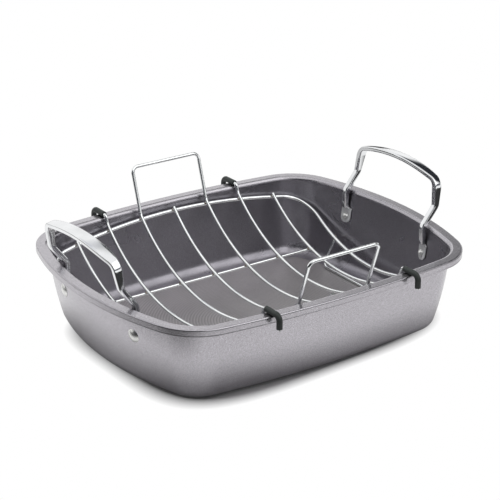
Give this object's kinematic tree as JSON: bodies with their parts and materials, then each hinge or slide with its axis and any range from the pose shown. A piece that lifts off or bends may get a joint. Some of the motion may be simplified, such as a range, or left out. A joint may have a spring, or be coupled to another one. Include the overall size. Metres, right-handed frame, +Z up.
{
  "type": "roasting pan with lift-out rack",
  "caption": "Rectangular roasting pan with bowed sides, upright end handles and a V-shaped wire rack that hangs on its rim and lifts out.",
  "frame": {"origin": "middle of the pan's underside, on the surface that it stands on", "axes": "+X along the pan towards one handle, +Y across it, +Z up"},
  "size_m": [0.4394, 0.3634, 0.1559],
  "materials": {
    "nonstick_coat": "satin dark grey non-stick coat",
    "polished_cast": "polished",
    "rivet_metal": "bright, slightly worn",
    "bright_wire": "bright plated",
    "sleeve_rubber": "matt"
  },
  "bodies": {
    "pan": {"pan_shell": "nonstick_coat", "right_handle": "polished_cast", "left_handle": "polished_cast", "right_rear_rivet": "rivet_metal", "right_front_rivet": "rivet_metal", "left_rear_rivet": "rivet_metal", "left_front_rivet": "rivet_metal"},
    "rack": {"rack_frame": "bright_wire", "left_rib": "bright_wire", "middle_rib": "bright_wire", "right_rib": "bright_wire", "right_hook_rib": "bright_wire", "left_hook_rib": "bright_wire", "lifting_wire": "bright_wire", "rear_stringer": "bright_wire", "front_stringer": "bright_wire", "right_foot": "bright_wire", "left_foot": "bright_wire", "right_rear_sleeve": "sleeve_rubber", "right_front_sleeve": "sleeve_rubber", "left_rear_sleeve": "sleeve_rubber", "left_front_sleeve": "sleeve_rubber"}
  },
  "joints": [
    {"name": "rack_lift", "type": "slide", "parent": "pan", "child": "rack", "axis": [0, 0, 1], "range_m": [0, 0.16]}
  ]
}
